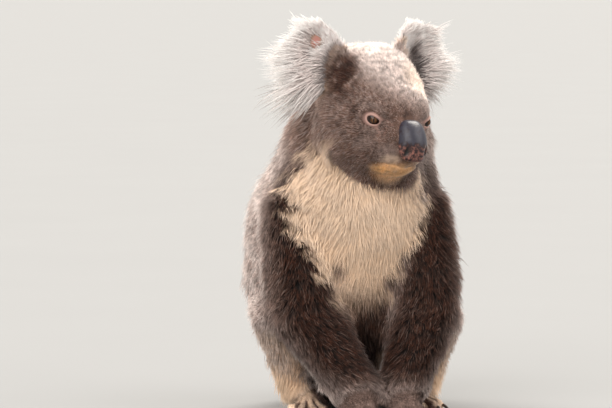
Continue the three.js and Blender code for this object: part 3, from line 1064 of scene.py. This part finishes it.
def makeClaw(name):
    # a horn from the CAD claw's thick end to its point, curved as that is
    places, middle, way = clawLines[name]
    along = (places - middle) @ way
    cuts = np.linspace(along.min(), along.max(), claw["rings"] + 1)
    turn = Vector(way).to_track_quat("Z", "Y").to_matrix().to_4x4()
    shape = bmesh.new()
    loops = []
    for low, high in zip(cuts[:-1], cuts[1:]):
        part = places[(along >= low - claw["overlap"] * mm) & (along <= high + claw["overlap"] * mm)]
        if len(part) > 2:
            off = part - part.mean(axis=0)
            wide = lengthOf(off - dot(off, way) * way).max()
            matrix = Matrix.Translation(Vector(part.mean(axis=0))) @ turn
            ring = bmesh.ops.create_circle(shape, segments=claw["segments"], radius=wide, matrix=matrix)
            loops.append(list(dict.fromkeys(edge for vert in ring["verts"] for edge in vert.link_edges)))
    for first, second in zip(loops[:-1], loops[1:]):
        bmesh.ops.bridge_loops(shape, edges=first + second)
    bmesh.ops.contextual_create(shape, geom=loops[0])
    end = bmesh.ops.contextual_create(shape, geom=loops[-1])["faces"]
    bmesh.ops.poke(shape, faces=end)["verts"][0].co = Vector(places[along.argmax()])
    bmesh.ops.recalc_face_normals(shape, faces=shape.faces)
    mesh = meshFrom(shape, name)
    found = (pointsOf(mesh) - middle) @ way
    setAttribute(mesh, "tip", (found - found.min()) / np.ptp(found))
    piece = newPiece(name.replace("_", "-"), mesh, clawHorn, "claw", name)
    smoother = piece.modifiers.new("smoother", "SUBSURF")
    smoother.levels = smoother.render_levels = 1


for side in sides:
    makeEye(side)
makeNose()
for name in clawLines:
    makeClaw(name)
log("eyes, nose and", len(clawLines), "claws")

# Shares of a lock's width or length, distances in mm, and lifts in degrees. root: how deep it starts in
# the skin. proud: how far locks may stand past the CAD model's box. patch: a lock's place on the flat
# map. shine: how much of the light a lock takes by its own shape rather than the skin's, less paleShine
# for pale ones.
locks = {
    "seed": 5,
    "reachPerDepth": 2.0,
    "earReach": 11,
    "sway": 0.22,
    "swayNoise": 0.2,
    "flat": 0.45,
    "patch": 0.003,
    "perClump": 22,
    "droop": 0.4,
    "root": 0.6,
    "offFloor": 0.4,
    "proud": 6,
    "stragglers": (0.03, 1.3),
    "liftNoise": (8, 8),
    "guard": {"share": 0.09, "longerThan": 7, "lift": 22},
    "width": (0.8, 1.2),
    "ownTone": 0.4,
    "frost": 0.5,
    "shine": 0.38,
    "paleShine": 0.32,
    "longShine": 0.8,
}
# A straight lock is one tapering spike, a curved one has a bend, and a long one is the ears' streaming
# hair. parts: shares of its length. bends: shares of its lift. widths: shares of its width.
lockKinds = {
    "straight": {
        "parts": (1.0,), "bends": (0.62,), "widths": (1.0,),
        "reach": 0.95, "uneven": 0.12, "lengths": (0.75, 1.1),
    },
    "curved": {
        "parts": (0.45, 0.55), "bends": (1.05, 0.4), "widths": (0.8, 1.0),
        "reach": 1.06, "uneven": 0.12, "lengths": (0.75, 1.1),
    },
    "long": {
        "parts": (0.3, 0.35, 0.35), "bends": (1, 0.55, 0.2), "widths": (0.7, 1.0, 0.7),
        "reach": 1, "uneven": 0.3, "lengths": (0.5, 1.35),
    },
}
# how many locks of each kind a piece has
pieceLocks = {
    "coatFace": {"straight": 48000},
    "coatCrown": {"straight": 30000},
    "coatChest": {"straight": 38000, "curved": 4500},
    "coatBack": {"straight": 27000, "curved": 6000},
    "coatRump": {"straight": 27000, "curved": 6000},
    "coatArm": {"straight": 28000, "curved": 4500},
    "coatLeg": {"straight": 12000, "curved": 2500},
    "coatEar": {"straight": 7000, "long": 4200},
}
# Where the fur parts: above the nose, and in each ear, in the head's mm.
partings = {"nose": (0, -86, -34), "ear": (48, 10, 36)}


def flowAt(places, shares):
    # the way the fur lies, before it is laid onto the skin
    inside = inHead(places)
    down = np.zeros_like(places)
    down[:, 0] = 0.3 * np.sign(places[:, 0]) * rise(10, 60, np.abs(places[:, 0] / mm))
    down[:, 1:] = 0.15, -1
    fromNose = unit(unit((inside - partings["nose"]) @ headAxes) + 0.2 * down)
    total = np.zeros_like(places)
    for i, guide in enumerate(guides):
        if guide["area"] in ("head", "jaw"):
            way = fromNose
        elif guide["area"] == "ear":
            side = 1 if guide["node"].endswith("left") else -1
            spread = unit((inside - np.array(partings["ear"]) * (side, 1, 1)) * (1.7, 1, 1))
            spread[:, 2] -= 0.1
            way = unit(spread @ headAxes)
        elif guide["area"] in ("neck", "chest", "rump"):
            way = unit(down)
        else:
            way = guide["way"]
        total += way * shares[:, i : i + 1]
    return unit(total)


def coatPieces(places, shares):
    # which triangles of the skin carry each coat piece
    inside = inHead(places)
    nearest = shares.argmax(axis=1)
    area = np.array([guide["area"] for guide in guides])[nearest]
    left = np.array([name.endswith("_left") for name in guideNames])[nearest]
    onEar = earShare(inside, shares) > 0.5
    onHead = np.isin(area, ("head", "jaw", "ear")) & ~onEar
    onTrunk = np.isin(area, ("neck", "chest"))
    front = places[:, 1] < guides[guideNames.index("chest")]["start"][1] - 5 * mm
    faceSide = inside[:, 1] < -14
    pieces = {
        "coatFace": onHead & faceSide,
        "coatCrown": onHead & ~faceSide,
        "coatChest": onTrunk & front,
        "coatBack": onTrunk & ~front,
        "coatRump": area == "rump",
    }
    paired = {
        "coatArm": (np.isin(area, ("upper_arm", "forearm", "hand")), left),
        "coatLeg": (np.isin(area, ("thigh", "shin", "foot")), left),
        "coatEar": (onEar, inside[:, 0] > 0),
    }
    for name, (there, onLeft) in paired.items():
        pieces[name + "Left"] = there & onLeft
        pieces[name + "Right"] = there & ~onLeft
    return pieces


def unwrapped(places, triangles):
    # the corners' places on a flat map of this part of the skin
    used, corner = np.unique(triangles, return_inverse=True)
    mesh = bpy.data.meshes.new("unwrap")
    mesh.from_pydata(places[used].tolist(), [], corner.reshape(-1, 3).tolist())
    holder = addObject("unwrapHolder", mesh)
    bpy.context.view_layer.objects.active = holder
    holder.select_set(True)
    bpy.ops.object.mode_set(mode="EDIT")
    bpy.ops.mesh.select_all(action="SELECT")
    bpy.ops.uv.smart_project(angle_limit=math.radians(70), island_margin=0.003, scale_to_bounds=True)
    bpy.ops.object.mode_set(mode="OBJECT")
    found = readAll(mesh.uv_layers.active.data, "uv", 2).reshape(-1, 3, 2)
    bpy.data.objects.remove(holder)
    bpy.data.meshes.remove(mesh)
    return found


def lockArrays(lines, widths, normals, tips, strands, marks, spots, loose):
    # Three-sided locks, each a closed spike along its own line of rings and a point.
    count, rings = widths.shape
    each = 3 * rings + 1
    way = unit(lines[:, 1:] - lines[:, :-1])
    side = unit(np.cross(way, normals[:, None]))
    up = np.cross(side, way)
    half = widths[..., None] / 2
    start = lines[:, :-1]
    ridge = start + up * half * 2 * locks["flat"]
    corners = np.stack([start - side * half, ridge, start + side * half], axis=2)
    faces = [(0, 2, 1)]
    for ring in range(rings - 1):
        for k in range(3):
            a, b = 3 * ring + k, 3 * ring + (k + 1) % 3
            faces.append((a, b, b + 3, a + 3))
    last = 3 * (rings - 1)
    faces += [(last + k, last + (k + 1) % 3, last + 3) for k in range(3)]
    pattern = np.array([corner for face in faces for corner in face])
    corner = (pattern[None] + np.arange(count)[:, None] * each).ravel()
    # the lock's own patch on the flat map: its length upwards, its sides across
    patch = np.array([(k / 2, ring / rings) for ring in range(rings) for k in range(3)] + [(0.5, 1)])
    flat = spots[:, None] + (patch[None] - 0.5) * locks["patch"]
    return {
        "places": np.concatenate([corners.reshape(count, -1, 3), lines[:, -1:]], axis=1).reshape(-1, 3),
        "corner": corner,
        "lengths": np.tile([len(face) for face in faces], count),
        "tip": np.tile(np.append(np.repeat(tips[:-1], 3), tips[-1]), count),
        "strand": np.repeat(strands, each),
        "faceWay": np.repeat(normals, each, axis=0),
        "marks": np.repeat(marks, each, axis=0),
        "loose": np.full((count * each, 1), float(loose)),
        "flat": np.clip(flat, 0, 1).reshape(-1, 2)[corner],
    }


def lockMesh(name, parts):
    offsets = np.cumsum([0] + [len(part["places"]) for part in parts])
    joined = {key: np.concatenate([part[key] for part in parts]) for key in parts[0] if key != "corner"}
    corner = np.concatenate([part["corner"] + offset for part, offset in zip(parts, offsets)])
    starts = np.concatenate([[0], np.cumsum(joined["lengths"])[:-1]])
    mesh = bpy.data.meshes.new(name)
    mesh.vertices.add(len(joined["places"]))
    mesh.loops.add(len(corner))
    mesh.polygons.add(len(starts))
    writeAll(mesh.vertices, "co", joined["places"])
    writeAll(mesh.loops, "vertex_index", corner, np.int32)
    writeAll(mesh.polygons, "loop_start", starts, np.int32)
    mesh.update(calc_edges=True)
    for key in ("tip", "strand", "marks"):
        setAttribute(mesh, key, joined[key])
    writeAll(mesh.uv_layers.new(name="OFBake").data, "uv", joined["flat"])
    # short locks take light much as the skin under them would, as soft fur does, and pale ones most
    own = locks["shine"] - locks["paleShine"] * joined["marks"][:, :1]
    own = own * (1 - joined["loose"]) + joined["loose"]
    normals = pointsOf(mesh, "normal") * own + joined["faceWay"] * (1 - own)
    mesh.normals_split_custom_set_from_vertices(unit(normals))
    return mesh


def clumped(roots, tips, strength, dice):
    # tips draw towards the tip of the nearest leading lock
    leaders = dice.permutation(len(roots))[: len(roots) // locks["perClump"] + 1]
    tree = KDTree(len(leaders))
    for i in leaders:
        tree.insert(roots[i], i)
    tree.balance()
    nearest = np.array([tree.find(root)[1] for root in roots])
    return (tips[nearest] - tips) * strength[:, None], nearest


def growLocks(kind, count, chosen, data, flatMap, dice):
    shape, long = lockKinds[kind], kind == "long"
    triangles = data["triangles"][chosen]
    corners = data["places"][triangles]
    cross = np.cross(corners[:, 1] - corners[:, 0], corners[:, 2] - corners[:, 0])
    weight = lengthOf(cross) * data["dense"][triangles].mean(axis=1)
    if long:
        weight *= data["streaming"][triangles].mean(axis=1)
    steps = (np.arange(count) + dice.uniform(0, 1, count)) / count * weight.sum()
    picked = np.searchsorted(np.cumsum(weight), steps).clip(0, len(weight) - 1)
    share = dice.uniform(0, 1, (count, 2))
    share = np.where(share.sum(axis=1, keepdims=True) > 1, 1 - share, share)
    share = np.column_stack([1 - share.sum(axis=1), share])

    def at(values):
        return np.einsum("ij,ij...->i...", share, values[triangles[picked]])

    roots, normals, flow = at(data["places"]), unit(at(data["normals"])), at(data["flow"])
    flow = unit(flow - normals * dot(flow, normals))
    swing = locks["sway"] * waver(roots, 24, 31) + locks["swayNoise"] * dice.normal(size=count)
    flow = flow * np.cos(swing)[:, None] + np.cross(flow, normals) * np.sin(swing)[:, None]
    length = at(data["hair" if long else "length"]) * dice.uniform(*shape["lengths"], count)
    length *= shape["reach"] * (1 + shape["uneven"] * waver(roots, 12, 33))
    often, longer = locks["stragglers"]
    length *= np.where(dice.uniform(0, 1, count) < often, longer, 1)
    broad, fine = locks["liftNoise"]
    lift = at(data["lift"]) + broad * waver(roots, 17, 34) + fine * dice.normal(size=count)
    # guard hairs stand up out of the wool
    guard = locks["guard"]
    onGuard = (dice.uniform(0, 1, count) < guard["share"]) & (length > guard["longerThan"] * mm)
    lift = np.radians(lift + guard["lift"] * onGuard).clip(0.1, 1.35)
    line = [roots - normals * locks["root"] * mm]
    for part, bend in zip(shape["parts"], shape["bends"]):
        way = flow * np.cos(lift * bend)[:, None] + normals * np.sin(lift * bend)[:, None]
        if long:
            way = unit(way - np.array((0, 0, 1)) * (1 - bend) * locks["droop"])
        line.append(line[-1] + way * (length * part)[:, None])
    lines = np.stack(line, axis=1)
    gather = dice.uniform(0.25, 0.8, count) if long else at(data["clump"]) * ~onGuard
    pull, leader = clumped(roots, lines[:, -1], gather, dice)
    lines[:, -1] += pull
    if len(line) > 2:
        lines[:, -2] += pull * 0.45
    lines[:, :, 2] = np.maximum(lines[:, :, 2], locks["offFloor"] * mm)
    proud = locks["proud"] * mm
    lines = np.clip(lines, np.array(cadLow) - proud, np.array(cadHigh) + proud)
    width = at(data["width"]) * mm * dice.uniform(*locks["width"], count)
    marks = markingsAt(roots + normals * length[:, None] * 0.3, normals, nearness(roots))
    # most of a lock's tone is its clump's, so whole clumps differ as in wool
    own = dice.uniform(0, 1, count)
    strands = locks["ownTone"] * own + (1 - locks["ownTone"]) * own[leader]
    frost = locks["frost"] * (dice.uniform(0, 1, count) < at(data["ticked"])) * (1 - marks[:, 0])
    frost *= 1 - 0.5 * marks[:, 1]
    marks[:, 1] *= 1 - frost
    marks[:, 2] = np.maximum(marks[:, 2], frost)
    tips = np.cumsum([0, *shape["parts"]])
    spots = np.einsum("ij,ijk->ik", share, flatMap[picked])
    widths = width[:, None] * shape["widths"]
    return lockArrays(lines, widths, normals, tips, strands, marks, spots, locks["longShine"] * long)


def makeCoatPiece(name, seed, chosen, data):
    dice = np.random.default_rng(seed)
    flatMap = unwrapped(data["places"], data["triangles"][chosen])
    kinds = pieceLocks[name.removesuffix("Left").removesuffix("Right")]
    parts = [growLocks(kind, count, chosen, data, flatMap, dice) for kind, count in kinds.items()]
    material, slot = (longEarHair, "ear_fur") if "Ear" in name else (woollyFur, "grey_fur")
    newPiece(name, lockMesh(name, parts), material, slot)
    log(name, kinds)


# Where the coat has no locks, in mm: beside the ear's notch, and under the nose pad.
clearings = {"notchMove": (4, 0, -6), "notch": (12, 20, 16), "nose": (15, 22, 21), "eyes": 20}


def coatDensity(places, normals, shares):
    inside = inHead(places)
    dense = areaValues(shares, "dense") * (bareSkin < 0.35)
    besideNotch = blot(inside, np.array(ear["notchAt"]) + clearings["notchMove"], clearings["notch"])
    dense *= 1 - 0.97 * (besideNotch > 0.4)
    # nor on the soles or inside the eyes
    dense *= 1 - rise(-0.35, -0.8, normals[:, 2]) * rise(14, 6, places[:, 2] / mm)
    dense *= rise(0.75, 0.95, lengthOf((inside - face["noseAt"]) / clearings["nose"]))
    for side in sides:
        q, distance, _ = lidShare(places, side)
        dense *= 1 - (q < 1.1) * (distance < clearings["eyes"] * mm)
    return dense


def makeCoat():
    places, normals = pointsOf(skin), pointsOf(skin, "normal")
    skin.calc_loop_triangles()
    triangles = readAll(skin.loop_triangles, "vertices", 3, np.int32)
    shares = nearness(places)
    depth = coatDepth(places, shares)
    inside = inHead(places)
    onEar = earShare(inside, shares)
    flow = flowAt(places, shares)
    length = depth * locks["reachPerDepth"] * (1 - onEar) + locks["earReach"] * mm * onEar
    # the ears' long hair starts on their front and rim, clear of the head, and streams out and down
    streaming = rise(0.3, -0.3, normals @ headAxes[1]) * rise(10, 26, inside[:, 2])
    streaming *= np.maximum(rise(54, 64, np.abs(inside[:, 0])), rise(82, 92, inside[:, 2]))
    upward = flow @ headAxes[2]
    outward = rise(0.95, 0.2, upward) * rise(-1.0, -0.7, upward)
    data = {column: areaValues(shares, column) for column in ("width", "clump", "ticked")}
    data.update({
        "places": places,
        "normals": normals,
        "triangles": triangles,
        "flow": flow,
        "dense": coatDensity(places, normals, shares),
        "length": np.maximum(length, digits["hair"] * mm * onDigits(places)),
        "hair": (12 + (24 + 14 * rise(0, -0.5, upward)) * outward) * mm,
        "streaming": streaming,
        "lift": areaValues(shares, "lift") * (0.55 + 0.45 * rise(2, 7, depth / mm)),
    })
    middles = places[triangles].mean(axis=1)
    pieces = coatPieces(middles, nearness(middles))
    for seed, (name, chosen) in enumerate(pieces.items(), locks["seed"]):
        makeCoatPiece(name, seed, chosen, data)


makeCoat()


# Matt floor paint, with very faint patches, counted to a metre. The size is in metres.
floorPaint = {"size": 200, "patches": 3, "colours": ("8a8b8c", "8d8e8f")}


def floorShading(node):
    place = node("TexCoord").outputs["Object"]
    grain = node("TexNoise", {"Vector": place, "Scale": floorPaint["patches"]})
    dim, bright = (srgb(colour) for colour in floorPaint["colours"])
    return {"Base Color": node("Mix", {0: grain, 6: dim, 7: bright}, data_type="RGBA"), "Roughness": 0.8}


def makeFloor():
    shape = bmesh.new()
    bmesh.ops.create_grid(shape, x_segments=2, y_segments=2, size=floorPaint["size"])
    mesh = meshFrom(shape, "studioFloor")
    mesh.materials.append(newMaterial("studioFloorPaint", floorShading))
    addObject("studioFloor", mesh)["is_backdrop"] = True


# Broad soft lamps: azimuth and elevation as the camera's and spread, all in degrees, and strength.
lamps = {
    "frontSoftbox": {"azimuth": -40, "elevation": 36, "strength": 2.1, "spread": 50, "colour": "fffaf5"},
    "backSoftbox": {"azimuth": 138, "elevation": 50, "strength": 2.8, "spread": 28, "colour": "fff8ee"},
    "rimSoftbox": {"azimuth": -132, "elevation": 38, "strength": 2.6, "spread": 30, "colour": "fff8ee"},
    "sideSoftbox": {"azimuth": 62, "elevation": 34, "strength": 1.15, "spread": 45, "colour": "fffaf5"},
}
air = {"colour": "f4f1ec", "strength": 0.84}


def makeLights():
    for name, lamp in lamps.items():
        data = bpy.data.lights.new(name, "SUN")
        data.energy = lamp["strength"]
        data.angle = math.radians(lamp["spread"])
        data.color = srgb(lamp["colour"])[:3]
        way = wayTo(lamp["azimuth"], lamp["elevation"])
        placeFacing(name, data, way * 2, way)
    world = bpy.data.worlds.new("studioAir")
    scene.world = world
    world.use_nodes = True
    back = world.node_tree.nodes["Background"]
    back.inputs["Color"].default_value = srgb(air["colour"])
    back.inputs["Strength"].default_value = air["strength"]
    scene.view_settings.view_transform = "Standard"


makeFloor()
makeLights()
log("floor and lights")

seenLow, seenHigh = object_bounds()
log("size", [round(v * 1000) for v in (*seenLow, *seenHigh)])
